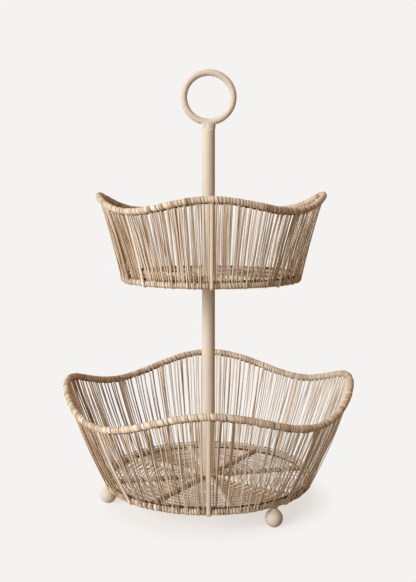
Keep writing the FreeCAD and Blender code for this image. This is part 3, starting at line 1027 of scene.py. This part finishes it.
        # Painted shade at the weft's ends, beside the spokes
        from_end = np.minimum(part, 1 - part) * reach * sector
        dark = WEFT_END_SHADE * np.clip(1 - from_end / WEFT_END_SHADE_LENGTH, 0, 1)
        # Painted light or painted shade, ring by ring
        ring_light_and_shade = WEFT_RING_LIGHT_AND_SHADE if ring % 2 else -WEFT_RING_LIGHT_AND_SHADE
        tone = tones(PANEL_TONES[panel] + ring_light_and_shade, WEFT_TONE_SPREAD)
        surface.tube(line, np.broadcast_to(UPWARD, line.shape), WEFT_HALF_HEIGHT, WEFT_HALF_WIDTHS[panel],
                     WEFT_SIDES, tone, dark, WEFT_SIDE_SHADE)

    def hub_coil(self, surface):
        """Rings of cord laid round the post on top of the hub plate."""
        angle = even_angles(COIL_POINTS)
        reach = self.post_radius + COIL_RADIUS + COIL_POST_GAP
        while reach < self.hub_radius + COIL_RADIUS:
            line = radial(angle) * reach - self.axis_foot
            line[:, 2] = self.hub_top + COIL_RADIUS * COIL_SEAT_SHARE
            tone = tones(COIL_TONE, COIL_TONE_SPREAD)
            surface.tube(line, radial(angle), COIL_RADIUS, COIL_RADIUS, COIL_SIDES, tone, COIL_SHADE,
                         closed=True)
            reach += 2 * COIL_RADIUS

    def build(self):
        self.strands()
        self.uprights()
        self.rim()
        self.base()
        self.spokes()
        self.floor()


def weld_relief(turn, climb):
    """Height of the weld's ridges and dimples, by the turn about the post and the level in bar radii."""
    relief = np.zeros(np.broadcast_shapes(turn.shape, climb.shape))
    for height, from_front, level, turn_spread, level_spread in WELD_MARKS:
        away = wrapped(turn - FRONT_ANGLE - from_front)
        relief += height * np.exp(-(away / turn_spread) ** 2 - ((climb - level) / level_spread) ** 2)
    return relief


def handle_weld():
    """Tube end pressed under the ring, with the weld's ridges and dimples on its front."""
    post_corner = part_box("upper_post")[1]
    ring_low, ring_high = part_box("ring_handle")
    bar = (ring_high.y - ring_low.y) / 2
    bottom = post_corner.z - WELD_LAP
    top = ring_low.z + bar
    share = np.linspace(0, 1, WELD_RINGS)[:, None]
    level = bottom + (top - bottom) * share
    climb = (level - ring_low.z) / bar
    press = smooth(WELD_PRESS_RATE * share)
    tuck = smooth((climb - WELD_TUCK_START) / WELD_TUCK_SPAN)
    skin = post_corner.x + WELD_SKIN
    half_width = skin + WELD_WIDENING * press - WELD_TUCK_WIDTH * tuck
    half_depth = skin + (bar + WELD_OVER_BAR - post_corner.x) * press - WELD_TUCK_DEPTH * tuck
    turn = even_angles(WELD_SIDES)
    relief = weld_relief(turn, climb) * smooth(WELD_RELIEF_RATE * share) * (1 - tuck)
    across = (half_width + relief) * np.cos(turn)
    through = (half_depth + relief) * np.sin(turn)
    points = np.stack([across, through, np.broadcast_to(level, across.shape)], axis=-1).reshape(-1, 3)
    mesh = bpy.data.meshes.new("ring_weld")
    mesh.from_pydata(points.tolist(), [], tube_faces(WELD_RINGS, WELD_SIDES))
    piece = new_piece("ring_weld", mesh, powder_coat, "handle")
    mesh.set_sharp_from_angle(angle=math.radians(WELD_SHARP_DEGREES))
    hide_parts("handle_weld")


def dress_cad_nodes():
    """A material for each CAD node, by its slot in the record."""
    finishes = {
        "post_paint": powder_coat,
        "frame_wire": wire_coat,
        "steel_hardware": zinc,
        "nylon_washer": nylon,
        "wall_fibre": strand_fibre,
        "binding_fibre": winding_fibre,
        "floor_fibre": weft_fibre,
    }
    for subpart in frame["record"]["subparts"]:
        mesh = frame["nodes"][subpart["node"]].data
        mesh.materials.clear()
        mesh.materials.append(finishes[subpart["material_slot"]])


def foot_angles():
    """Angle of each ball foot about the post."""
    angles = []
    for number in range(1, FOOT_COUNT + 1):
        low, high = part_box(f"foot_ball_{number}")
        angles.append(math.atan2(low.y + high.y, low.x + high.x))
    return angles


def add_camera():
    camera = bpy.data.objects.new("camera", bpy.data.cameras.new("camera"))
    camera.data.sensor_width = SENSOR_SIZE
    camera.data.lens = FOCAL_PIXELS / IMAGE_HEIGHT * SENSOR_SIZE
    camera.data.shift_y = (EYE_LEVEL_ROW - IMAGE_HEIGHT / 2) / IMAGE_HEIGHT
    camera.location = CAMERA_PLACE
    camera.rotation_euler = (math.pi / 2, 0, 0)
    bpy.context.scene.collection.objects.link(camera)
    bpy.context.scene.camera = camera


def floor_material():
    """Backdrop with a soft shadow near the feet where it is seen, and a glow where it lights the object."""
    material, tree = new_material("floor")
    pale = linear(BACKDROP)
    lit = [value * share for value, share in zip(pale, SHADOW_SHARES)]
    unlit = [value - part for value, part in zip(pale, lit)]
    shadowed = tree.add("ShaderNodeBsdfDiffuse", {"Color": [part / FLOOR_LIGHT for part in lit] + [1.0]})
    near = tree.add("ShaderNodeAddShader", {0: shadowed, 1: tree.emission(unlit + [1.0])})
    fade = tree.soft_step(tree.length(tree.place()), *SHADOW_FADE)
    visible = tree.mix_shaders(fade, near, tree.emission(pale))
    leftward = tree.dot(tree.place(), direction(SOFT_LIGHT_FROM[0], 0))
    side = tree.soft_step(leftward, *FLOOR_GLOW_REACH)
    glow = tree.emission(tree.mix(side, FLOOR_GLOW_RIGHT + (1.0,), FLOOR_GLOW_LEFT + (1.0,)))
    mixed = tree.mix_shaders(tree.seen_directly(), glow, visible)
    tree.link(mixed, tree.nodes["Material Output"].inputs["Surface"])
    return material


def add_floor():
    """Wide pale floor."""
    size = FLOOR_HALF_SIZE
    corners = [(-size, -size, 0), (size, -size, 0), (size, size, 0), (-size, size, 0)]
    mesh = bpy.data.meshes.new("floor")
    mesh.from_pydata(corners, [], [(0, 1, 2, 3)])
    mesh.materials.append(floor_material())
    floor = bpy.data.objects.new("floor", mesh)
    bpy.context.scene.collection.objects.link(floor)


def add_world():
    """Broad white light from the front left, a weak warm one from the other side, and the pale backdrop."""
    world = bpy.data.worlds.new("studio")
    bpy.context.scene.world = world
    tree = NodeTree(world)
    toward = tree.dot(tree.place("Generated"), direction(*SOFT_LIGHT_FROM))
    side = tree.soft_step(toward, *SOFT_LIGHT_COSINES)
    light = tree.nodes["Background"]
    tree.fill(light, {"Color": tree.mix(side, SHADE_LIGHT + (1.0,), SOFT_LIGHT + (1.0,))})
    backdrop = tree.add("ShaderNodeBackground", {"Color": linear(BACKDROP)})
    mixed = tree.mix_shaders(tree.seen_directly(), light.outputs[0], backdrop)
    tree.link(mixed, tree.nodes["World Output"].inputs["Surface"])


def add_key_light():
    """Wide sun from the front left."""
    sun = bpy.data.objects.new("key", bpy.data.lights.new("key", "SUN"))
    sun.data.energy = KEY_ENERGY
    sun.data.angle = math.radians(KEY_WIDTH_DEGREES)
    azimuth, elevation = KEY_LIGHT_FROM
    sun.rotation_euler = (math.radians(90 - elevation), 0, math.radians(azimuth))
    bpy.context.scene.collection.objects.link(sun)


bpy.context.scene.view_settings.view_transform = "Standard"
dress_cad_nodes()
Basket("lower", "stand", foot_angles(), **LOWER_BASKET).build()
Basket("upper", "upper_basket", [], **UPPER_BASKET).build()
handle_weld()
add_camera()
add_floor()
add_world()
add_key_light()
